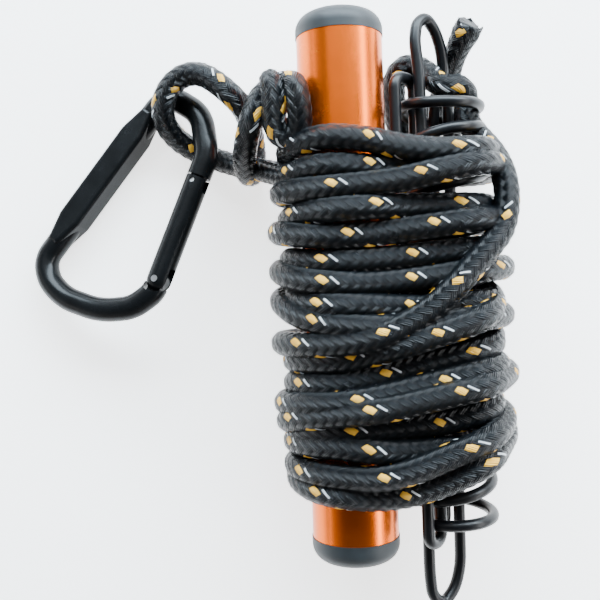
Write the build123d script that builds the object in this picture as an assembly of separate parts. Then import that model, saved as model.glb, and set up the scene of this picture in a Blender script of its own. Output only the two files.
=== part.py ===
"""Throw line wound on a float tube: rope, capped tube, shock spring and carabiner.

Frame: millimetres, +Z up, +Y along the tube. The origin is on the resting face,
below the tube's axis and at half the tube's length.
"""
import math
import os

from build123d import *

# Driving dimensions
ROPE_D = 7.0
AXIS_Z = 23.0            # height of the tube's and the spring's axes

TUBE_R = 12.5
TUBE_WALL = 1.5
TUBE_LENGTH = 144.0
CAP_R = 12.7
CAP_HEIGHT = 7.0         # part of a cap that shows past the tube
CAP_ROUNDING = 5.0
CAP_PLUG_LENGTH = 12.0
CAP_WALL = 1.6

SPRING_X = 28.8          # spring's axis, beside the tube
SPRING_MEAN_R = 11.1
SPRING_WIRE = 3.2
SPRING_TOP = 50.3        # middle of the top turn
SPRING_BOTTOM = -68.0    # middle of the bottom turn
SPRING_TURNS = 9
EYE_WIRE = 3.4           # wire of the two pull loops
HOOK_RADIUS = 3.4        # bend where a pull loop's leg hooks over the end turn
LEG_R = 7.55             # radius at which the legs run inside the coil
HOOK_R = 14.75           # radius at which the hooks lie outside it
HOOK_FOOT = -72.6        # hooks of the top loop, past the bottom turn
HOOK_TIP = -57.5
NEAR_EYE_ANGLE = 150.0   # top loop's upper leg at the eye, and at its hook
NEAR_HOOK_ANGLE = 129.5
FAR_HOOK_ANGLE = 260.0   # top loop's lower leg inside the coil
FAR_EYE = (28.7, 16.5)   # and where it comes out beside the eye
LEFT_LEG = (21.1, 23.0)  # bottom loop's two legs and hooks
LEFT_HOOK = (15.0, 28.6)
LEFT_HEAD = 59.3         # hooks of the bottom loop, past the top turn
RIGHT_HOOK_ANGLE = -62.0
RIGHT_HEAD = 55.2

WINDING_TOP = 42.5
WINDING_BOTTOM = -61.5
WINDING_R = 20.0         # outer radius of the wound rope round each axis
TUBE_BORE_R = 12.6       # winding's bore round the tube
SPRING_BORE_R = 16.7     # winding's bore round the spring and its hooks
REST_LEFT = -4.0         # flat underside where crossing turns rest
REST_RIGHT = 33.0
REST_WALL = 4.0          # between the underside's pad and the tube's bore
SEAL_THICKNESS = 0.8     # melted rope ends
SEAL_GAP = 0.02

ROD_R = 3.7              # carabiner's bar
SPINE_WIDTH = 8.2        # flattened spine
SPINE_THICKNESS = 7.8
SPINE_LOW = 1.0
SPINE_HIGH = 52.0
SPINE_TAPER = 9.0        # at each end the flat narrows over this length
SPINE_END_WIDTH = 4.0
SPINE_ROUNDING = 1.4
CARABINER_ROLL = 19.0    # degrees that the gate side is lifted off the ground
SPINE_FOOT = (-90.2, 15.6, 4.8)   # lower end of the spine's centre line
SPINE_HEADING = 38.2     # degrees from +Y towards +X
GATE_FROM = (36.3, 11.9)          # hinge pin, in the carabiner's own plane
GATE_LENGTH = 33.1
GATE_LEAN = 17.0         # degrees that the gate leans towards the spine
PIN_R = 1.0
PIN_LENGTH = 7.0
RUNNING = 0.05           # radial clearance of the gate on its pin
GATE_TRAVEL_GAP = 0.4    # between the frame's end and the gate's round foot

TANG_THICKNESS = 3.0     # frame's tongue between the gate's cheeks at the hinge
TANG_R = 3.0
TANG_ROOT = -5.2
TANG_ROOT_WIDTH = 4.2
NOSE_THICKNESS = 2.4     # frame's tongue between the gate's cheeks at the latch
NOSE_WIDTH = 4.6
SLOT_GAP = 0.6           # side play of both tongues
LATCH_PIN_R = 0.75
LATCH_PIN_LENGTH = 6.4
LATCH_PIN_AT = GATE_LENGTH - 1.5
LATCH_GAP = 0.2

THROUGH = 20.0           # longer than anything that it cuts
SPRING_POCKET = (3.0, 16.0)       # along the gate, from the hinge pin
SPRING_POCKET_R = 1.65
PLUNGER = (3.2, 7.2)
PLUNGER_R = 1.5
GATE_SPRING_FROM = 7.8
GATE_SPRING_LENGTH = 7.4
GATE_SPRING_PITCH = 1.3
GATE_SPRING_R = 1.15
GATE_SPRING_WIRE_R = 0.25


def save(shape, name):
    """Write one sub-part and report its volume."""
    export_step(shape, f"parts/{name}.step")
    print(f"{name:18s} {shape.volume:10.1f} mm3")


def bar(points, radii, radius):
    """A round bar along straight runs joined by tangent arcs."""
    path = FilletPolyline(*points, radius=radii)
    start = Plane(origin=path @ 0, z_dir=path % 0)
    return sweep(start * Circle(radius), path=path)


def corner_radii(points, tightest=0.0):
    """For each corner, 0.45 of its shorter run divided by the tangent of half the turn."""
    radii = []
    spots = [Vector(*p) for p in points]
    for before, here, after in zip(spots, spots[1:], spots[2:]):
        arriving = here - before
        leaving = after - here
        half_turn = math.radians(arriving.get_angle(leaving)) / 2
        shorter = min(arriving.length, leaving.length)
        radii.append(max(tightest, 0.45 * shorter / math.tan(half_turn)))
    return radii


def rope_tube(points, name):
    """A rope's stretch, with its radii and its volume over section times length printed."""
    radii = corner_radii(points)
    path = FilletPolyline(*points, radius=radii)
    solid = bar(points, radii, ROPE_D / 2)
    section = math.pi * ROPE_D ** 2 / 4
    ratio = solid.volume / (section * path.length)
    listed = " ".join(f"{r:.1f}" for r in radii)
    print(f"{name}: length {path.length:.1f}, volume ratio {ratio:.3f}, radii {listed}")
    return solid


def along_y(x, z, radius, y_from, y_to):
    """A cylinder parallel to the tube."""
    face = Plane(origin=(x, y_from, z), z_dir=(0, 1, 0)) * Circle(radius)
    return extrude(face, amount=y_to - y_from)


# Tube and its two caps

def make_tube():
    half = TUBE_LENGTH / 2
    outer = along_y(0, AXIS_Z, TUBE_R, -half, half)
    inner = along_y(0, AXIS_Z, TUBE_R - TUBE_WALL, -half, half)
    return outer - inner


def make_cap(side):
    """A pushed-in end cap: side is 1 for the top end and -1 for the bottom end."""
    plug_r = TUBE_R - TUBE_WALL - 0.05
    cup_r = plug_r - CAP_WALL
    button = Circle(CAP_R)
    head = extrude(button, amount=CAP_HEIGHT)
    head = fillet(head.edges().sort_by(Axis.Z)[-1], CAP_ROUNDING)
    plug = extrude(Circle(plug_r), amount=-CAP_PLUG_LENGTH)
    hollow = extrude(Circle(cup_r), amount=-CAP_PLUG_LENGTH)
    cap = head + (plug - hollow)
    lead_in = cap.edges().sort_by(Axis.Z)[0:2]
    cap = chamfer(lead_in, 0.5)
    seat = Plane(origin=(0, side * TUBE_LENGTH / 2, AXIS_Z), z_dir=(0, side, 0))
    return seat.location * cap


# Shock spring: a coil with two pull loops hooked over its far ends

def make_coil():
    height = SPRING_TOP - SPRING_BOTTOM
    path = Helix(
        pitch=height / SPRING_TURNS,
        height=height,
        radius=SPRING_MEAN_R,
        center=(SPRING_X, SPRING_BOTTOM, AXIS_Z),
        direction=(0, 1, 0),
    )
    start = Plane(origin=path @ 0, z_dir=path % 0)
    return sweep(start * Circle(SPRING_WIRE / 2), path=path, is_frenet=True)


def polar(angle, radius):
    """A point round the spring's axis: angle in degrees from +X towards +Z."""
    turn = math.radians(angle)
    return SPRING_X + radius * math.cos(turn), AXIS_Z + radius * math.sin(turn)


def place(spot, y):
    """A point at the given x and z, and at y along the tube."""
    return spot[0], y, spot[1]


def loop_radii(points):
    """Corner radii of a pull loop: its two hooks' bends first and last, its eye's between them."""
    bends = [HOOK_RADIUS, HOOK_RADIUS]
    return bends + corner_radii(points)[2:-2] + bends


def make_top_eye_wire():
    """The loop whose eye is at the top and whose hooks hold the bottom turn."""
    points = [
        place(polar(NEAR_HOOK_ANGLE, HOOK_R), HOOK_TIP),
        place(polar(NEAR_HOOK_ANGLE, HOOK_R), HOOK_FOOT),
        place(polar(NEAR_HOOK_ANGLE, LEG_R), HOOK_FOOT),
        place(polar(NEAR_EYE_ANGLE, LEG_R), 61.0),
        (21.4, 69.4, 26.8),
        (22.3, 74.8, 25.8),
        (25.2, 77.2, 23.8),
        (28.2, 74.2, 21.6),
        (30.3, 68.8, 19.6),
        (31.0, 61.5, 18.2),
        place(FAR_EYE, 56.5),
        place(polar(FAR_HOOK_ANGLE, LEG_R), 44.0),
        place(polar(FAR_HOOK_ANGLE, LEG_R), HOOK_FOOT),
        place(polar(FAR_HOOK_ANGLE, HOOK_R), HOOK_FOOT),
        place(polar(FAR_HOOK_ANGLE, HOOK_R), HOOK_TIP),
    ]
    return bar(points, loop_radii(points), EYE_WIRE / 2)


def make_bottom_eye_wire():
    """The loop whose eye is at the bottom and whose hooks hold the top turn."""
    right_leg_top = polar(RIGHT_HOOK_ANGLE, LEG_R)
    right_hook = polar(RIGHT_HOOK_ANGLE, HOOK_R)
    points = [
        place(LEFT_HOOK, 38.0),
        place(LEFT_HOOK, LEFT_HEAD),
        place(LEFT_LEG, LEFT_HEAD),
        (21.1, -84.5, 23.0),
        (21.8, -91.2, 22.2),
        (25.2, -94.4, 20.4),
        (29.3, -90.6, 18.0),
        (31.4, -84.0, 16.6),
        place(right_leg_top, RIGHT_HEAD),
        place(right_hook, RIGHT_HEAD),
        place(right_hook, 44.5),
    ]
    return bar(points, loop_radii(points), EYE_WIRE / 2)


# Rope: the winding, the eye that holds the carabiner, and the two tied ends

def make_winding():
    """The wound rope's outer shape, bored for the tube and the spring."""
    length = WINDING_TOP - WINDING_BOTTOM
    outer = along_y(0, AXIS_Z, WINDING_R, WINDING_BOTTOM, WINDING_TOP)
    outer += along_y(SPRING_X, AXIS_Z, WINDING_R, WINDING_BOTTOM, WINDING_TOP)
    middle = (WINDING_TOP + WINDING_BOTTOM) / 2
    outer += Pos(SPRING_X / 2, middle, AXIS_Z) * Box(SPRING_X, length, 2 * WINDING_R)
    rest_width = REST_RIGHT - REST_LEFT
    rest_x = (REST_RIGHT + REST_LEFT) / 2
    rest_depth = AXIS_Z - TUBE_BORE_R - REST_WALL
    outer += Pos(rest_x, middle, rest_depth / 2) * Box(rest_width, length, rest_depth)
    bore = along_y(0, AXIS_Z, TUBE_BORE_R, WINDING_BOTTOM - 1, WINDING_TOP + 1)
    bore += along_y(SPRING_X, AXIS_Z, SPRING_BORE_R, WINDING_BOTTOM - 1, WINDING_TOP + 1)
    bore += Pos(SPRING_X / 2, middle, AXIS_Z) * Box(SPRING_X, length + 2, 2 * TUBE_BORE_R)
    return outer - bore


EYE_ROUTE = [
    (-31.6, 57.1, 20.4),
    (-36.2, 61.6, 19.0),
    (-40.8, 64.9, 17.3),
    (-45.9, 65.4, 16.0),
    (-50.6, 62.6, 15.0),
    (-53.6, 57.4, 13.9),
    (-53.6, 51.8, 10.9),
    (-50.6, 47.6, 7.0),
    (-46.2, 44.8, 4.2),
    (-41.0, 42.6, 3.6),
    (-35.8, 41.2, 3.8),
    (-31.0, 41.4, 5.0),
    (-27.9, 44.2, 7.6),
]

HITCH_ROUTE = [
    (18.0, 43.2, 8.4),
    (17.0, 51.6, 10.6),
    (16.2, 58.6, 12.8),
    (16.6, 63.8, 14.0),
    (19.2, 67.4, 15.2),
    (23.4, 67.4, 16.8),
    (26.4, 63.6, 19.4),
    (28.4, 58.8, 22.8),
    (32.0, 56.0, 24.8),
    (36.8, 55.2, 24.6),
]

TAIL_ROUTE = [
    (34.2, 62.6, 10.4),
    (34.2, 66.0, 14.6),
    (35.8, 70.4, 19.2),
    (38.6, 75.4, 23.4),
]

KNOT_LOOP_ROUTE = [
    (-25.8, 48.7, 31.5),
    (-26.9, 44.9, 31.0),
    (-27.7, 41.2, 28.0),
    (-28.4, 37.8, 22.4),
    (-28.0, 35.4, 16.4),
    (-25.8, 34.6, 11.6),
    (-21.6, 36.0, 9.0),
    (-17.8, 38.0, 9.2),
]


def make_knot():
    """The knot's lump beside the tube, with the loop that crosses the eye's lower leg."""
    lump = Pos(-22.4, 52.0, 21.0) * Box(17.2, 15.0, 34.0)
    lump = fillet(lump.edges(), 5.0)
    return lump + rope_tube(KNOT_LOOP_ROUTE, "knot loop")


def make_end_seals():
    """The two melted rope ends, as thin buttons."""
    tail_from = Vector(*TAIL_ROUTE[-1])
    tail_dir = (tail_from - Vector(*TAIL_ROUTE[-2])).normalized()
    tail_plane = Plane(origin=tail_from + tail_dir * SEAL_GAP, z_dir=tail_dir)
    tail = extrude(tail_plane * Circle(ROPE_D / 2 - 0.3), amount=SEAL_THICKNESS)
    knot_dir = Vector(-1, 0.25, 0.1).normalized()
    knot_plane = Plane(origin=Vector(-31.02, 55.0, 33.0), z_dir=knot_dir)
    knot = extrude(knot_plane * Circle(2.6), amount=SEAL_THICKNESS)
    return Compound(children=[tail, knot])


# Carabiner, drawn flat in its own plane and then laid against the ground

def carabiner_plane():
    heading = math.radians(SPINE_HEADING)
    roll = math.radians(CARABINER_ROLL)
    across = (
        math.cos(heading) * math.cos(roll),
        -math.sin(heading) * math.cos(roll),
        math.sin(roll),
    )
    along = (math.sin(heading), math.cos(heading), 0)
    normal = Vector(*across).cross(Vector(*along))
    return Plane(origin=SPINE_FOOT, x_dir=across, z_dir=normal)


CARABINER = carabiner_plane()
LEAN = math.radians(GATE_LEAN)
GATE_DIR = (-math.sin(LEAN), math.cos(LEAN))


def gate_point(distance, aside=0.0):
    """A point in the carabiner's plane, at a distance from the hinge pin along the gate."""
    x = GATE_FROM[0] + distance * GATE_DIR[0] + aside * GATE_DIR[1]
    y = GATE_FROM[1] + distance * GATE_DIR[1] - aside * GATE_DIR[0]
    return x, y


def gate_box(start, stop, width, thickness, aside=0.0):
    """A box along the gate's line, between two distances from the hinge pin."""
    x, y = gate_point((start + stop) / 2, aside)
    turned = Pos(x, y, 0) * Rot(0, 0, GATE_LEAN)
    return turned * Box(width, stop - start, thickness)


def across_pin(distance, radius, length):
    """A cylinder square to the carabiner's plane, centred on the gate's line."""
    x, y = gate_point(distance)
    return Pos(x, y, 0) * Cylinder(radius, length)


def gate_rod(start, stop, radius):
    """A cylinder along the gate's line."""
    x, y = gate_point(start)
    face = Plane(origin=(x, y, 0), z_dir=(*GATE_DIR, 0)) * Circle(radius)
    return extrude(face, amount=stop - start)


def make_carabiner_frame():
    outline = [
        gate_point(GATE_LENGTH + 0.5),
        (24.4, 50.9),
        (14.4, 60.1),
        (0.2, 59.7),
        (0.0, -4.6),
        (4.8, -9.2),
        (13.5, -10.4),
        (26.5, -6.3),
        (34.6, 0.6),
        (37.0, 7.5),
        gate_point(-0.5),
    ]
    radii = [13.0, 11.0, 6.6, 6.8, 11.0, 19.0, 26.0, 12.0, 8.4]
    frame = bar([(x, y, 0) for x, y in outline], radii, ROD_R)
    half = SPINE_WIDTH / 2
    end = SPINE_END_WIDTH / 2
    right_side = [
        (end, SPINE_LOW),
        (half, SPINE_LOW + SPINE_TAPER),
        (half, SPINE_HIGH - SPINE_TAPER),
        (end, SPINE_HIGH),
    ]
    left_side = [(-x, y) for x, y in reversed(right_side)]
    blank = make_face(Polyline(*right_side, *left_side, close=True))
    spine = extrude(blank, amount=SPINE_THICKNESS / 2, both=True)
    rims = spine.edges().group_by(Axis.Z)
    frame += fillet(rims[0] + rims[-1], SPINE_ROUNDING)
    frame -= across_pin(0, ROD_R + GATE_TRAVEL_GAP, THROUGH)
    tang = across_pin(0, TANG_R, TANG_THICKNESS)
    tang += gate_box(TANG_ROOT, 0, TANG_ROOT_WIDTH, TANG_THICKNESS)
    frame += tang
    frame -= across_pin(0, PIN_R, THROUGH)
    tongue = gate_box(GATE_LENGTH - 3.0, GATE_LENGTH + 2.0, NOSE_WIDTH, NOSE_THICKNESS)
    notch = across_pin(LATCH_PIN_AT, LATCH_PIN_R + LATCH_GAP, THROUGH)
    notch += gate_box(
        LATCH_PIN_AT - LATCH_PIN_R - LATCH_GAP,
        LATCH_PIN_AT + LATCH_PIN_R + LATCH_GAP,
        4.0,
        THROUGH,
        aside=-2.0,
    )
    return frame + (tongue - notch)


def make_gate():
    gate = gate_rod(0, GATE_LENGTH, ROD_R)
    x, y = gate_point(0)
    gate += Pos(x, y, 0) * Sphere(ROD_R)
    gate -= gate_box(TANG_ROOT, 4.4, 12, TANG_THICKNESS + SLOT_GAP)
    gate -= gate_box(GATE_LENGTH - 4.0, GATE_LENGTH + 1.0, 12, NOSE_THICKNESS + SLOT_GAP)
    gate -= gate_rod(*SPRING_POCKET, SPRING_POCKET_R)
    gate -= across_pin(0, PIN_R + RUNNING, THROUGH)
    gate -= across_pin(LATCH_PIN_AT, LATCH_PIN_R, THROUGH)
    return gate


def make_gate_spring():
    x, y = gate_point(GATE_SPRING_FROM)
    coil = Helix(
        pitch=GATE_SPRING_PITCH,
        height=GATE_SPRING_LENGTH,
        radius=GATE_SPRING_R,
        center=(x, y, 0),
        direction=(*GATE_DIR, 0),
    )
    start = Plane(origin=coil @ 0, z_dir=coil % 0)
    return sweep(start * Circle(GATE_SPRING_WIRE_R), path=coil, is_frenet=True)


def laid(shape):
    """Moves a carabiner piece from its own plane to where it lies."""
    return CARABINER.location * shape


os.makedirs("parts", exist_ok=True)

save(make_tube(), "tube")
save(make_cap(1), "top_cap")
save(make_cap(-1), "bottom_cap")
save(make_coil(), "coil_spring")
save(make_top_eye_wire(), "top_eye_wire")
save(make_bottom_eye_wire(), "bottom_eye_wire")
save(make_winding(), "rope_winding")
save(rope_tube(EYE_ROUTE, "eye"), "rope_eye")
save(make_knot(), "rope_knot")
save(rope_tube(HITCH_ROUTE, "hitch"), "rope_hitch")
save(rope_tube(TAIL_ROUTE, "tail"), "rope_tail")
save(make_end_seals(), "rope_end_seals")
save(laid(make_carabiner_frame()), "carabiner_frame")
save(laid(make_gate()), "gate")
save(laid(across_pin(0, PIN_R, PIN_LENGTH)), "gate_pin")
save(laid(across_pin(LATCH_PIN_AT, LATCH_PIN_R, LATCH_PIN_LENGTH)), "latch_pin")
save(laid(gate_rod(*PLUNGER, PLUNGER_R)), "gate_plunger")
save(laid(make_gate_spring()), "gate_spring")
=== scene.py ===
"""Looks of the throw line kit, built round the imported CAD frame. Metres, the same frame as the CAD."""
import math

import bpy
import numpy as np
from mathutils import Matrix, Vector


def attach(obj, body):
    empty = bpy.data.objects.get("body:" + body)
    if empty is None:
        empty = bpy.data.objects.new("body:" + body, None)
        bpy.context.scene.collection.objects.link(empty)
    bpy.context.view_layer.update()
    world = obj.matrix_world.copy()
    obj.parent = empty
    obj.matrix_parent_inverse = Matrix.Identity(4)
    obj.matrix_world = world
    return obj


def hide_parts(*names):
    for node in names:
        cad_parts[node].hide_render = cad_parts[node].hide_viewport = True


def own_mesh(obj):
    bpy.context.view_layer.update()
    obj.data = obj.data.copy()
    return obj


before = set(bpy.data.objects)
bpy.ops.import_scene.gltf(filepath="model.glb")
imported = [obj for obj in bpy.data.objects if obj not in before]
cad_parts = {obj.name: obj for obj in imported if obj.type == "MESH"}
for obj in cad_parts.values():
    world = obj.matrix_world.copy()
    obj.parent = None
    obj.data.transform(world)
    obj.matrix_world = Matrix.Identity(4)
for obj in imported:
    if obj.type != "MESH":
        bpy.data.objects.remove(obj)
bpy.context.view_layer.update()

MM = 0.001

FOCAL = 46.8
CAMERA_AT = (-0.0138, 0.0, 0.250)
CAMERA_ROLL = -2.0
CAMERA_SHIFT_Y = -0.02

camera_data = bpy.data.cameras.new("camera")
camera_data.lens = FOCAL
camera_data.sensor_width = 36.0
camera_data.shift_y = CAMERA_SHIFT_Y
camera_data.clip_start = 0.01
camera = bpy.data.objects.new("camera", camera_data)
camera.location = CAMERA_AT
camera.rotation_euler = (0.0, 0.0, math.radians(CAMERA_ROLL))
bpy.context.scene.collection.objects.link(camera)
bpy.context.scene.camera = camera

# The winding, in mm
TUBE_X = 0.0             # the two axes that the line is wound round
SPRING_X = 28.8
AXIS_Z = 23.0
TUBE_TURN_R = 16.0       # centre of the rope round the tube and round the spring
SPRING_TURN_R = 16.2
SUNK_R = 11.0            # round the spring's far side, where a turn sinks between the coils
COIL_MEAN_R = 11.1
COIL_PITCH = 14.4
COIL_AT_SIDE = 45.7      # y of one coil at the spring's far side
COIL_TO_ROPE = 4.0       # distance from a wire to the rope pressed on it
HOOK_DODGE_R = 21.5      # where the moving hook passes inside the turns
HOOK_DODGE_FROM = 10.0   # turns above this y stand clear of it
HOOK_DODGE_BELOW = -30   # and do so from this angle down
SIDE_RISE = {"left": 3.2, "right": 1.0}   # most that a crossing turn stands out at the sides
SHOULDER = 60            # angle at which the right side's limit ends
LOW_LEFT = -38.0         # below this y the left side is pulled tight
LOW_LEFT_RISE = 0.6
MOST_RISE = 7.0          # most that a crossing turn stands out anywhere
CORNER_CUT = 0.966       # a quadratic spline's radius over that of its points, 30 degrees apart
LAID_GAP = 6.2           # centre distance of two turns that press on each other
LOWEST = 3.55            # lowest centre of a turn, on the ground
RISE_SMOOTHINGS = 2      # times that a turn's rises are evened out with their neighbours

# The stations of one turn: where its points lie, and the key of its y there.
# A side's stations are angles round its axis; the front's and the back's are x in mm.
STATIONS = [
    ("left", (165, 135, 105), (0.25, 0.7, 1.0)),
    ("front", (5.0, 14.4, 23.8), (2.0, 3.0, 4.0)),
    ("right", (75, 45, 15), (5.0, 5.4, 5.85)),
    ("right", (-15, -45, -75), (6.0, 6.1, 6.25)),
    ("back", (23.8, 14.4, 5.0), (6.3, 6.5, 6.7)),
    ("left", (255, 225, 195), (6.8, 6.9, 7.0)),
]
LAST_KEY = 6.0           # past it a turn runs behind to the next one
CROSS_FROM = 6.25        # keys between which it changes from one turn's y to the next one's
CROSS_OVER = 0.5
BACK_TUCK = {5.0: 0.9, 14.4: 2.6, 23.8: 0.9}   # how far the back is drawn in at each x
SUNK_SHARE = {75: 0.0, 45: 0.4, 15: 1.0, -15: 0.9, -45: 0.0, -75: 0.0}   # by angle

# One row for each turn in the order that they were laid: y in mm at the left side,
# the left shoulder, three places across the front, the right shoulder and the right side
TURNS = [
    (31.5, 33.2, 32.3, 31.6, 31.8, 32.6, 34.0),
    (38.5, 41.0, 39.6, 36.6, 34.9, 35.2, 37.0),
    (27.0, 26.6, 27.1, 27.7, 29.6, 31.6, 33.5),
    (19.5, 20.6, 21.0, 21.0, 21.0, 20.8, 21.0),
    (16.5, 13.6, 13.7, 14.8, 15.6, 16.8, 18.0),
    (8.5, 6.8, 6.8, 7.4, 8.2, 9.0, 9.6),
    (5.5, 0.9, 0.4, 1.0, 2.0, 3.2, 4.2),
    (-3.0, -5.0, -5.4, -6.2, -6.4, -5.7, -4.8),
    (-2.5, -10.2, -11.2, -11.0, -10.2, -9.6, -9.4),
    (-27.3, -26.7, -25.2, -22.9, -20.8, -18.8, -15.5),
    (-33.0, -31.5, -30.0, -28.0, -26.0, -24.0, -22.0),
    (-42.5, -39.8, -39.2, -38.6, -37.8, -35.8, -32.6),
    (-44.0, -43.2, -44.4, -45.0, -44.8, -45.0, -45.6),
    (-38.6, -34.2, -33.1, -31.3, -29.4, -27.2, -25.6),
    (-54.0, -56.8, -57.8, -56.8, -53.6, -47.8, -42.4),
    (-50.5, -51.5, -51.8, -49.6, -45.6, -41.4, -37.0),
    (-21.0, -20.1, -18.4, -15.6, -12.8, -9.2, -2.8),
    (-15.8, -15.4, -14.2, -10.4, -4.4, 4.6, 21.0),
]

KNOT_START = [
    (-0.0206, 0.0592, 0.0325),
    (-0.0193, 0.0565, 0.0342),
    (-0.0190, 0.0525, 0.0346),
    (-0.0194, 0.0490, 0.0336),
    (-0.0193, 0.0458, 0.0322),
    (-0.0179, 0.0429, 0.0310),
    (-0.0151, 0.0418, 0.0310),
    (-0.0128, 0.0434, 0.0324),
    (-0.0121, 0.0468, 0.0344),
    (-0.0124, 0.0508, 0.0360),
    (-0.0130, 0.0542, 0.0362),
    (-0.0134, 0.0566, 0.0346),
    (-0.0166, 0.0578, 0.0308),
    (-0.0202, 0.0570, 0.0284),
    (-0.0230, 0.0546, 0.0284),
    (-0.0246, 0.0514, 0.0298),
    (-0.0256, 0.0482, 0.0305),
    (-0.0270, 0.0446, 0.0286),
    (-0.0282, 0.0410, 0.0250),
    (-0.0290, 0.0376, 0.0196),
    (-0.0287, 0.0350, 0.0134),
    (-0.0272, 0.0354, 0.0076),
    (-0.0264, 0.0394, 0.0046),
    (-0.0266, 0.0446, 0.0050),
    (-0.0270, 0.0496, 0.0096),
    (-0.0284, 0.0540, 0.0160),
]
EYE_ROUTE = [
    (-0.0316, 0.0571, 0.0204),
    (-0.0362, 0.0616, 0.0190),
    (-0.0408, 0.0649, 0.0173),
    (-0.0459, 0.0654, 0.0160),
    (-0.0506, 0.0626, 0.0150),
    (-0.0536, 0.0574, 0.0139),
    (-0.0536, 0.0518, 0.0109),
    (-0.0506, 0.0476, 0.0070),
    (-0.0462, 0.0448, 0.0042),
    (-0.0410, 0.0422, 0.0036),
    (-0.0350, 0.0400, 0.0052),
    (-0.0292, 0.0376, 0.0098),
    (-0.0240, 0.0358, 0.0160),
    (-0.0196, 0.0338, 0.0216),
]
LAST_RISE = [
    (0.0372, 0.0095, 0.0425),
    (0.0414, 0.0140, 0.0400),
    (0.0434, 0.0215, 0.0384),
    (0.0434, 0.0290, 0.0362),
    (0.0420, 0.0355, 0.0318),
    (0.0396, 0.0404, 0.0274),
    (0.0372, 0.0444, 0.0248),
    (0.0362, 0.0484, 0.0236),
]
HITCH_ROUTE = [
    (0.0364, 0.0520, 0.0236),
    (0.0358, 0.0550, 0.0248),
    (0.0336, 0.0564, 0.0260),
    (0.0308, 0.0562, 0.0258),
    (0.0280, 0.0578, 0.0236),
    (0.0264, 0.0618, 0.0198),
    (0.0238, 0.0648, 0.0168),
    (0.0201, 0.0656, 0.0156),
    (0.0172, 0.0630, 0.0142),
    (0.0165, 0.0585, 0.0128),
    (0.0172, 0.0535, 0.0110),
    (0.0180, 0.0490, 0.0088),
    (0.0192, 0.0456, 0.0066),
    (0.0217, 0.0442, 0.0048),
    (0.0247, 0.0456, 0.0040),
    (0.0274, 0.0490, 0.0038),
    (0.0300, 0.0530, 0.0040),
    (0.0326, 0.0575, 0.0052),
]
TAIL_ROUTE = [
    (0.0342, 0.0626, 0.0094),
    (0.0342, 0.0660, 0.0146),
    (0.0358, 0.0704, 0.0192),
    (0.0386, 0.0754, 0.0234),
]


def smoothstep(t):
    """Rises from 0 to 1 as t does, level at both ends."""
    t = min(max(t, 0.0), 1.0)
    return t * t * (3.0 - 2.0 * t)


def stations():
    """The stations of a turn in order: side, angle or x, and the key of its y."""
    return [
        (side, place, key)
        for side, places, keys in STATIONS
        for place, key in zip(places, keys)
    ]


def turn_y(row, following, key):
    """A turn's y at a station; past the right side it runs behind to the next turn."""
    if key <= LAST_KEY:
        low = min(int(key), len(row) - 2)
        share = key - low
        return row[low] + (row[low + 1] - row[low]) * share
    crossed = smoothstep((key - CROSS_FROM) / CROSS_OVER)
    return row[-1] + (following[0] - row[-1]) * crossed


def sunk_radius(y):
    """How near the spring's axis a turn lies at the far side: less between two coils than over one."""
    apart = abs((y - COIL_AT_SIDE + COIL_PITCH / 2) % COIL_PITCH - COIL_PITCH / 2)
    over = COIL_MEAN_R + math.sqrt(max(COIL_TO_ROPE ** 2 - apart ** 2, 0.0))
    return max(SUNK_R, over)


def spot(place, out, y):
    """A point at a station, standing out by that much from the innermost layer."""
    side, where, _ = place
    if side == "front":
        return where, y, AXIS_Z + TUBE_TURN_R + out
    if side == "back":
        return where, y, max(AXIS_Z - TUBE_TURN_R + BACK_TUCK[where] - out, LOWEST)
    centre, radius = TUBE_X, TUBE_TURN_R
    if side == "right":
        centre = SPRING_X
        radius = SPRING_TURN_R + (sunk_radius(y) - SPRING_TURN_R) * SUNK_SHARE[where]
        if where < HOOK_DODGE_BELOW and y > HOOK_DODGE_FROM:
            radius = HOOK_DODGE_R
    if side == "left" or where < SHOULDER:
        out = min(out, SIDE_RISE[side])
    if side == "left" and y < LOW_LEFT:
        out = min(out, LOW_LEFT_RISE)
    radius = (radius + out) / CORNER_CUT
    turn = math.radians(where)
    return (
        centre + radius * math.cos(turn),
        y,
        max(AXIS_Z + radius * math.sin(turn), LOWEST),
    )


def rise_over(laid, j, y):
    """How far a turn stands out at a station to lie on the turns already there."""
    out = 0.0
    for other_ys, other_outs in laid:
        apart = abs(other_ys[j] - y)
        if apart < LAID_GAP:
            out = max(out, other_outs[j] + math.sqrt(LAID_GAP ** 2 - apart ** 2))
    return min(out, MOST_RISE)


def evened(outs):
    """Each rise, or the mean of it and its neighbours where that is more."""
    before = outs[:1] + outs[:-1]
    after = outs[1:] + outs[-1:]
    return [max(o, (a + 2 * o + b) / 4) for a, o, b in zip(before, outs, after)]


def laid_turns():
    """Lays the turns one after another, each one resting on those already there."""
    places = stations()
    laid = []
    for row, following in zip(TURNS, TURNS[1:] + TURNS[-1:]):
        ys = [turn_y(row, following, key) for _, _, key in places]
        outs = [rise_over(laid, j, y) for j, y in enumerate(ys)]
        for _ in range(RISE_SMOOTHINGS):
            outs = evened(outs)
        laid.append((ys, outs))
    points = []
    for ys, outs in laid:
        for place, y, out in zip(places, ys, outs):
            points.append(tuple(c * MM for c in spot(place, out, y)))
    return points


LAST_TURN_CUT = 12       # the last turn leaves the winding at the front
winding = laid_turns()[:-LAST_TURN_CUT]
route_points = KNOT_START + EYE_ROUTE + winding + LAST_RISE + HITCH_ROUTE + TAIL_ROUTE

route = bpy.data.curves.new("rope_route", "CURVE")
route.dimensions = "3D"
spline = route.splines.new("NURBS")
spline.points.add(len(route_points) - 1)
for point, place in zip(spline.points, route_points):
    point.co = (*place, 1.0)
spline.order_u = 3
spline.use_endpoint_u = True
spline.resolution_u = 12


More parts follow.
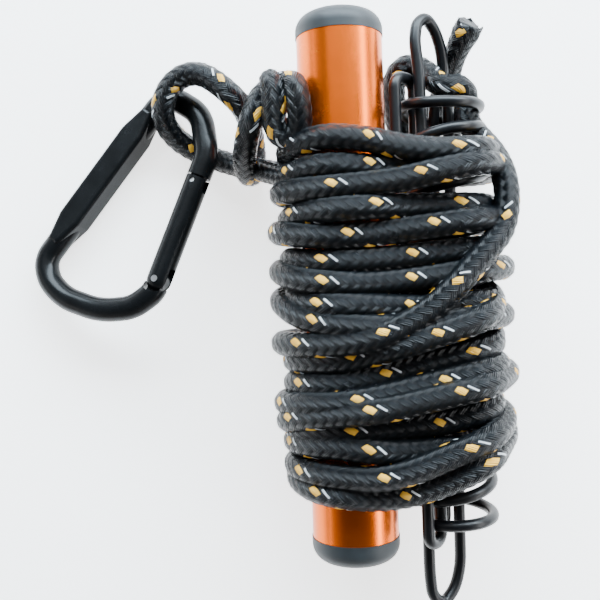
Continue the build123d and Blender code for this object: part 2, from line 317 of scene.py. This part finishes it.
def read_line(curve):
    """The points that a curve with no bevel runs through."""
    holder = bpy.data.objects.new("line_holder", curve)
    mesh = bpy.data.meshes.new_from_object(holder)
    line = np.array([v.co for v in mesh.vertices], float)
    bpy.data.meshes.remove(mesh)
    bpy.data.objects.remove(holder)
    return line


def even_line(line, step):
    """The line again, with points one step apart."""
    along = np.concatenate([[0], np.cumsum(np.linalg.norm(np.diff(line, axis=0), axis=1))])
    at = np.arange(0, along[-1], step)
    return np.stack([np.interp(at, along, line[:, k]) for k in range(3)], axis=1)


LAY = 0.0235             # length in which one carrier goes once round the rope
ROUND = 24               # points round the rope, three to a carrier
RING_STEP = LAY / ROUND
CARRIERS = 8             # in each direction
BRAID_R = 0.00318        # radius under the carriers
BRAID_WAVE = 0.00017     # rise and fall of a carrier over and under the others
BRAID_CROWN = 0.00030    # crown of one carrier
FLARE = 0.40             # how much the cut end past the hitch spreads
FLARE_LENGTH = 0.010
FRAY = 0.0012            # how uneven that end is
FRAY_WAVES = (9, 5)      # strands and bundles of them round that end
FRAY_SHIFT = 1.3
END_RINGS = 3            # rings that narrow at each end of the line
END_WIDTH = 0.8
COLUMN_TURN = 0.016      # turns the columns of floats to either side of the outermost line
TWIST_SMOOTHING = 60     # rings to either side over which the twist is evened out

line = even_line(read_line(route), RING_STEP)
rope_length = RING_STEP * (len(line) - 1)
print(f"rope length {rope_length:.4f} m, {len(line)} rings, {len(route_points)} route points")


def frames(line):
    """Tangent, normal and binormal along the line, turned no more than the line itself turns."""
    tangents = np.gradient(line, axis=0)
    tangents /= np.linalg.norm(tangents, axis=1)[:, None]
    normals = np.zeros_like(tangents)
    start = np.cross(tangents[0], (0.3, 0.2, 1.0))
    normals[0] = start / np.linalg.norm(start)
    for i in range(1, len(line)):
        n = normals[i - 1] - tangents[i] * (normals[i - 1] @ tangents[i])
        normals[i] = n / np.linalg.norm(n)
    return tangents, normals, np.cross(tangents, normals)


def outward(points):
    """Directions away from the flat core between the tube's and the spring's axes."""
    core_x = np.clip(points[:, 0], TUBE_X * MM, SPRING_X * MM)
    away = np.stack([points[:, 0] - core_x, np.zeros(len(points)), points[:, 2] - AXIS_Z * MM], axis=1)
    return away / np.maximum(np.linalg.norm(away, axis=1), 1e-9)[:, None]


def smoothed(values, width):
    """The values averaged over that many to either side, the near ones counting most."""
    kernel = np.hanning(2 * width + 1)
    kernel /= kernel.sum()
    padded = np.concatenate([np.full(width, values[0]), values, np.full(width, values[-1])])
    return np.convolve(padded, kernel, mode="valid")


def settled_twist(line, tangents, normals, binormals):
    """The angle that brings the braid's columns back to the outward side all along the winding."""
    away = outward(line)
    away -= tangents * (away * tangents).sum(1)[:, None]
    angle = np.unwrap(np.arctan2((away * binormals).sum(1), (away * normals).sum(1)))
    first = np.argmin(np.abs(line - np.array(winding[0])).sum(1))
    last = np.argmin(np.abs(line - np.array(winding[-1])).sum(1))
    angle[:first] = angle[first]
    angle[last:] = angle[last]
    return smoothed(angle, TWIST_SMOOTHING)


def braid_radius(count):
    """Radius at each point of each ring: two sets of carriers, over two and under two."""
    ring = np.arange(ROUND)[None, :] / ROUND + COLUMN_TURN
    along = np.arange(count)[:, None] * RING_STEP / LAY
    a = CARRIERS * (ring + along)
    b = CARRIERS * (ring - along)
    i, j = np.floor(a), np.floor(b)
    crown_a = 1 - (2 * (a - i) - 1) ** 2
    crown_b = 1 - (2 * (b - j) - 1) ** 2
    wave_a = np.cos(np.pi / 2 * (b + i - 1))
    wave_b = np.cos(np.pi / 2 * (a + j - 3))
    height = np.maximum(
        BRAID_WAVE * wave_a + BRAID_CROWN * crown_a,
        BRAID_WAVE * wave_b + BRAID_CROWN * crown_b,
    )
    return BRAID_R + np.maximum(height, 0.0)


def rings_mesh(name, points):
    """A closed tube through rings of points, with a flat face on each end."""
    count, sides = points.shape[:2]
    low = np.arange(count - 1)[:, None] * sides
    here = np.arange(sides)[None, :]
    after = (here + 1) % sides
    quads = np.stack([low + here, low + after, low + sides + after, low + sides + here], axis=2)
    first = list(range(sides))[::-1]
    last = list(range((count - 1) * sides, count * sides))
    mesh = bpy.data.meshes.new(name)
    mesh.from_pydata(
        points.reshape(-1, 3).tolist(), [], quads.reshape(-1, 4).tolist() + [first, last]
    )
    mesh.polygons.foreach_set("use_smooth", [True] * len(mesh.polygons))
    mesh.update()
    return mesh


def round_points(path, radius, angle, normals, binormals):
    """Rings of points round a line, at those radii and angles."""
    return (
        path[:, None, :]
        + (radius * np.cos(angle))[..., None] * normals[:, None, :]
        + (radius * np.sin(angle))[..., None] * binormals[:, None, :]
    )


def add_braid_uv(mesh, count):
    """UV coordinates for the braid's material: once round the rope, and lengths of one lay."""
    here = np.arange(ROUND)[None, :]
    u = np.broadcast_to(here / ROUND, (count - 1, ROUND))
    v = np.broadcast_to(np.arange(count - 1)[:, None] / ROUND, (count - 1, ROUND))
    step = 1 / ROUND
    corners = [(0, 0), (step, 0), (step, step), (0, step)]
    loops = np.stack([np.stack([u + du, v + dv], axis=2) for du, dv in corners], axis=2)
    caps = np.zeros((2 * ROUND, 2))
    uv = mesh.uv_layers.new(name="braid")
    uv.data.foreach_set(
        "uv", np.concatenate([loops.reshape(-1, 2), caps]).astype(np.float32).ravel()
    )


def add_object(name, mesh):
    """Puts a mesh in the scene."""
    made = bpy.data.objects.new(name, mesh)
    bpy.context.scene.collection.objects.link(made)
    return made


def make_rope():
    """The whole line as one braided mesh, its far end flared and frayed."""
    tangents, normals, binormals = frames(line)
    twist = settled_twist(line, tangents, normals, binormals)
    count = len(line)
    ring = np.arange(ROUND) / ROUND
    radius = braid_radius(count)
    ends = np.minimum(np.arange(count), np.arange(count)[::-1])[:, None]
    narrowed = END_WIDTH + (1 - END_WIDTH) * ends / END_RINGS
    radius *= np.where(ends < END_RINGS, narrowed, 1.0)
    to_end = np.clip((count - 1 - np.arange(count)) * RING_STEP / FLARE_LENGTH, 0, 1)[:, None]
    radius *= 1 + FLARE * (1 - to_end) ** 2
    angle = 2 * np.pi * ring[None, :] + twist[:, None]
    points = round_points(line, radius, angle, normals, binormals)
    strands, bundles = FRAY_WAVES
    ragged = np.sin(strands * 2 * np.pi * ring) * np.sin(bundles * 2 * np.pi * ring + FRAY_SHIFT)
    points += ((1 - to_end) ** 4 * FRAY * ragged[None, :])[..., None] * tangents[:, None, :]
    points[..., 2] = np.maximum(points[..., 2], 0.0)
    mesh = rings_mesh("rope", points)
    add_braid_uv(mesh, count)
    return add_object("rope_line", mesh)


rope = make_rope()
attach(rope, "root")
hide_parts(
    "rope_winding", "rope_eye", "rope_knot", "rope_hitch", "rope_tail", "rope_end_seals"
)


# Shock spring: the same wire as the CAD's, with its two end turns closed up

COIL_WIRE_R = 1.6
COIL_STEPS = 48          # points in one turn
COIL_SIDES = 16
COIL_ENDS = (0.62, 0.93)   # share of the wire's radius in the first rings at a cut end
# y in mm at each quarter turn, from the left side below the bottom front, in the order
# left, front, right, behind; the free turns between the two lists stand one pitch apart
BOTTOM_QUARTERS = [-68.2, -67.4, -67.0, -65.2, -62.6, -60.0, -56.2, -52.3, -48.2]
TOP_QUARTERS = [43.0, 44.8, 47.8, 51.6, 50.2, 50.6, 49.4]
COIL_START = 0.45        # the wire begins part of a quarter turn in
FREE_FROM = -44.3
FREE_QUARTERS = 24


def coil_line():
    """The centre line of the wire, in metres."""
    free = [FREE_FROM + COIL_PITCH / 4 * k for k in range(FREE_QUARTERS)]
    heights = BOTTOM_QUARTERS + free + TOP_QUARTERS
    quarter = np.arange(len(heights))
    steps = np.linspace(COIL_START, quarter[-1], quarter[-1] * COIL_STEPS // 4 + 1)
    y = smoothed(np.interp(steps, quarter, heights), COIL_STEPS // 8)
    turn = math.pi - steps * math.pi / 2
    x = SPRING_X + COIL_MEAN_R * np.cos(turn)
    z = AXIS_Z + COIL_MEAN_R * np.sin(turn)
    return np.stack([x, y, z], axis=1) * MM


def make_coil():
    """The coil's wire as a mesh, its cut ends slightly rounded."""
    path = coil_line()
    _, normals, binormals = frames(path)
    count = len(path)
    angle = 2 * np.pi * np.arange(COIL_SIDES)[None, :] / COIL_SIDES
    ends = np.minimum(np.arange(count), np.arange(count)[::-1])[:, None]
    share = np.where(ends < len(COIL_ENDS), np.take(COIL_ENDS, ends, mode="clip"), 1.0)
    radius = COIL_WIRE_R * MM * share
    points = round_points(path, radius, angle, normals, binormals)
    return add_object("coil_wire", rings_mesh("coil", points))


coil = make_coil()
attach(coil, "root")
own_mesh(coil)
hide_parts("coil_spring")


# Materials

class Nodes:
    """Short calls that add shader nodes and join them."""

    def __init__(self, name):
        self.material = bpy.data.materials.new(name)
        self.material.use_nodes = True
        self.tree = self.material.node_tree
        self.shader = self.tree.nodes["Principled BSDF"]

    def put(self, socket, value):
        """Joins a socket to another one, or sets it to a constant."""
        if isinstance(value, bpy.types.NodeSocket):
            self.tree.links.new(value, socket)
        else:
            socket.default_value = value

    def math(self, operation, *values):
        node = self.tree.nodes.new("ShaderNodeMath")
        node.operation = operation
        for socket, value in zip(node.inputs, values):
            self.put(socket, value)
        return node.outputs[0]

    def mix(self, share, first, second):
        node = self.tree.nodes.new("ShaderNodeMix")
        node.data_type = "RGBA"
        self.put(node.inputs[0], share)
        self.put(node.inputs[6], first)
        self.put(node.inputs[7], second)
        return node.outputs[2]

    def ramp(self, value, stops):
        node = self.tree.nodes.new("ShaderNodeValToRGB")
        elements = node.color_ramp.elements
        while len(elements) < len(stops):
            elements.new(0.5)
        for element, (position, colour) in zip(elements, stops):
            element.position = position
            element.color = (*colour, 1.0)
        self.put(node.inputs[0], value)
        return node.outputs[0]

    def noise(self, scale, detail=3.0):
        node = self.tree.nodes.new("ShaderNodeTexNoise")
        node.inputs["Scale"].default_value = scale
        node.inputs["Detail"].default_value = detail
        place = self.tree.nodes.new("ShaderNodeTexCoord").outputs["Object"]
        self.put(node.inputs["Vector"], place)
        return node.outputs["Fac"]

    def bump(self, height, distance, strength=1.0):
        node = self.tree.nodes.new("ShaderNodeBump")
        node.inputs["Strength"].default_value = strength
        node.inputs["Distance"].default_value = distance
        self.put(node.inputs["Height"], height)
        return node.outputs["Normal"]

    def set(self, **inputs):
        """Fills the shader's own sockets and gives back the material."""
        for key, value in inputs.items():
            self.put(self.shader.inputs[key.replace("_", " ")], value)
        return self.material


FLOAT_SHOWS = 0.45       # how much of a float's rise shows its colour
YARNS = 4                # in one carrier
YARN_RELIEF = 0.22       # their rise over that of the carrier
SILVER_YARN = (0.36, 0.64)   # part of its carrier's width that the silver yarn takes
RELIEF_DEPTH = 0.00035
SOOT = [(0.30, (0.0006, 0.0008, 0.0011)), (0.72, (0.003, 0.004, 0.0052))]
# painted sheen: the lighter black painted along each yarn's crest
PAINTED_SHEEN_BLACK = (0.007, 0.010, 0.0125, 1)
# painted shade: the colour that the braid's low places, between and under the carriers, are darkened to
PAINTED_GROOVE_SHADE = (0.001, 0.001, 0.0015, 1)
GOLD = [(0.3, (0.58, 0.30, 0.025)), (0.7, (0.82, 0.47, 0.06))]
SILVER = [(0.3, (0.34, 0.36, 0.38)), (0.7, (0.55, 0.58, 0.60))]


def braid_crown(n, across):
    """The crown of a carrier, from the place across it."""
    centred = n.math("MULTIPLY_ADD", across, 2.0, -1.0)
    return n.math("SUBTRACT", 1.0, n.math("MULTIPLY", centred, centred))


def braid_wave(n, value, index, start):
    """Whether a carrier is over or under there, from -1 to 1."""
    place = n.math("ADD", n.math("ADD", value, index), start)
    return n.math("COSINE", n.math("MULTIPLY", place, math.pi / 2))


def rope_material():
    """The braid's weave, the same as the mesh's, with one gold carrier and one silver yarn; its grooves
    are darkened with painted shade and its yarn crests lightened with a painted sheen.
    """
    n = Nodes("braided_cord")
    uv = n.tree.nodes.new("ShaderNodeUVMap")
    uv.uv_map = "braid"
    parts = n.tree.nodes.new("ShaderNodeSeparateXYZ")
    n.tree.links.new(uv.outputs[0], parts.inputs[0])
    ring = n.math("ADD", parts.outputs[0], COLUMN_TURN)
    along = parts.outputs[1]
    a = n.math("MULTIPLY", n.math("ADD", ring, along), CARRIERS)
    b = n.math("MULTIPLY", n.math("SUBTRACT", ring, along), CARRIERS)
    i = n.math("FLOOR", a)
    j = n.math("FLOOR", b)
    across_a = n.math("SUBTRACT", a, i)
    across_b = n.math("SUBTRACT", b, j)

    share = BRAID_WAVE / BRAID_CROWN
    wave_a = braid_wave(n, b, i, -1.0)
    wave_b = braid_wave(n, a, j, -3.0)
    height_a = n.math("MULTIPLY_ADD", wave_a, share, braid_crown(n, across_a))
    height_b = n.math("MULTIPLY_ADD", wave_b, share, braid_crown(n, across_b))
    height = n.math("MAXIMUM", height_a, height_b)
    top_b = n.math("GREATER_THAN", height_b, height_a)
    top_a = n.math("SUBTRACT", 1.0, top_b)
    seen_b = n.math("MULTIPLY", across_b, top_b)
    seen_a = n.math("MULTIPLY", across_a, top_a)
    across = n.math("ADD", seen_b, seen_a)
    yarn = n.math("SINE", n.math("MULTIPLY", across, 2 * math.pi * YARNS))

    carrier = n.math("FLOORED_MODULO", j, float(CARRIERS))
    shown = n.math("MULTIPLY", top_b, n.math("GREATER_THAN", wave_b, FLOAT_SHOWS))
    gold = n.math("MULTIPLY", shown, n.math("LESS_THAN", carrier, 0.5))
    silver = n.math("MULTIPLY", shown, n.math("GREATER_THAN", carrier, CARRIERS - 1.5))
    silver = n.math("MULTIPLY", silver, n.math("GREATER_THAN", across_b, SILVER_YARN[0]))
    silver = n.math("MULTIPLY", silver, n.math("LESS_THAN", across_b, SILVER_YARN[1]))

    wear = n.noise(220.0, 4.0)
    # painted sheen: where a yarn's relief rises, its black is lightened towards the sheen colour
    black = n.mix(n.math("MULTIPLY_ADD", yarn, 0.3, 0.3), n.ramp(wear, SOOT), PAINTED_SHEEN_BLACK)
    # painted shade: the lower the braid's relief, the darker its black, as if shaded in the grooves
    black = n.mix(n.math("MULTIPLY_ADD", height, -0.85, 1.0), black, PAINTED_GROOVE_SHADE)
    colour = n.mix(silver, n.mix(gold, black, n.ramp(wear, GOLD)), n.ramp(wear, SILVER))
    relief = n.math("MULTIPLY_ADD", yarn, YARN_RELIEF, height)
    return n.set(
        Base_Color=colour,
        Roughness=n.math("MULTIPLY_ADD", wear, 0.20, 0.14),
        Normal=n.bump(relief, RELIEF_DEPTH, 1.0),
        Specular_IOR_Level=0.19,
    )


rope.data.materials.append(rope_material())


GRAIN_SCALE = 160.0      # uneven colour and sheen of the hard parts
FINE_SCALE = 2500.0      # their fine bumps
FINE_DEPTH = 0.00003


def simple_material(name, colour, roughness, metallic=0.0, uneven=0.2, **more):
    """A plain coating or metal, a little uneven in colour, sheen and surface."""
    n = Nodes(name)
    grain = n.noise(GRAIN_SCALE, 4.0)
    dark = tuple((1 - uneven) * c for c in colour)
    light = tuple((1 + uneven) * c for c in colour)
    return n.set(
        Base_Color=n.ramp(grain, [(0.3, dark), (0.7, light)]),
        Roughness=n.math("MULTIPLY_ADD", grain, 0.6 * uneven, roughness - 0.3 * uneven),
        Normal=n.bump(n.noise(FINE_SCALE), FINE_DEPTH, 0.4),
        Metallic=metallic,
        **more,
    )


def dress(node, material):
    """Gives a CAD node's surface a material."""
    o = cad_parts[node]
    o.data.materials.clear()
    o.data.materials.append(material)


orange = simple_material(
    "orange_anodised_tube", (0.74, 0.13, 0.004), 0.27, metallic=0.95, uneven=0.04
)
cap_black = simple_material("moulded_cap", (0.016, 0.020, 0.023), 0.5, Specular_IOR_Level=0.35)
wire_black = simple_material(
    "dipped_wire", (0.003, 0.0035, 0.0045), 0.34, Specular_IOR_Level=0.26
)
satin_black = simple_material(
    "black_anodised_bar", (0.0035, 0.004, 0.0045), 0.25, Specular_IOR_Level=0.15
)
steel = simple_material("bright_steel", (0.6, 0.61, 0.63), 0.3, metallic=1.0)

DRESSED = [
    (orange, ("tube",)),
    (cap_black, ("top_cap", "bottom_cap")),
    (wire_black, ("top_eye_wire", "bottom_eye_wire")),
    (satin_black, ("carabiner_frame", "gate")),
    (steel, ("gate_pin", "latch_pin", "gate_plunger", "gate_spring")),
]
for material, nodes in DRESSED:
    for node in nodes:
        dress(node, material)
coil.data.materials.append(wire_black)

# Floor
FLOOR_SIZE = 40.0
FLOOR_GLOW = 2.2         # the floor's own light, as over a light table


def make_floor():
    half = FLOOR_SIZE / 2
    mesh = bpy.data.meshes.new("floor")
    corners = [(-half, -half, 0), (half, -half, 0), (half, half, 0), (-half, half, 0)]
    mesh.from_pydata(corners, [], [(0, 1, 2, 3)])
    mesh.materials.append(Nodes("pale_floor").set(
        Base_Color=(0.85, 0.85, 0.85, 1),
        Roughness=0.9,
        Emission_Color=(1.0, 1.0, 1.0, 1.0),
        Emission_Strength=FLOOR_GLOW,
    ))
    return add_object("floor", mesh)


floor = make_floor()

# The room: white walls that darken towards the ceiling
WALL_LIGHT = 1.2
WALL = (0.10, (1.0, 1.0, 1.0, 1.0))       # upward direction and colour
CEILING = (0.75, (0.09, 0.09, 0.09, 1.0))


def make_room():
    """The light that comes from all round."""
    world = bpy.data.worlds.new("studio")
    world.use_nodes = True
    room = world.node_tree
    direction = room.nodes.new("ShaderNodeTexCoord")
    upward = room.nodes.new("ShaderNodeSeparateXYZ")
    walls = room.nodes.new("ShaderNodeValToRGB")
    for element, (position, colour) in zip(walls.color_ramp.elements, (WALL, CEILING)):
        element.position = position
        element.color = colour
    background = room.nodes["Background"]
    room.links.new(direction.outputs["Generated"], upward.inputs[0])
    room.links.new(upward.outputs["Z"], walls.inputs[0])
    room.links.new(walls.outputs[0], background.inputs[0])
    background.inputs[1].default_value = WALL_LIGHT
    return world


bpy.context.scene.world = make_room()


def area_light(name, at, toward, size, power, colour=(1, 1, 1)):
    """A soft rectangular light turned towards a place."""
    data = bpy.data.lights.new(name, "AREA")
    data.shape = "RECTANGLE"
    data.size, data.size_y = size
    data.energy = power
    data.color = colour
    lamp = bpy.data.objects.new(name, data)
    lamp.location = at
    lamp.rotation_euler = (Vector(toward) - Vector(at)).to_track_quat("-Z", "Y").to_euler()
    bpy.context.scene.collection.objects.link(lamp)


area_light("overhead", (0.0, 0.33, 0.60), (0, 0, 0), (0.9, 0.42), 1.3)
area_light("window", (0.10, 0.62, 0.40), (0, 0, 0), (1.2, 0.4), 44.0, (0.74, 0.89, 1.0))
area_light("right_strip", (0.45, 0.0, 0.27), (0, 0, 0.02), (0.9, 0.10), 4.0)
area_light("left_strip", (-0.50, 0.0, 0.17), (0, 0, 0.02), (0.9, 0.06), 0.4)
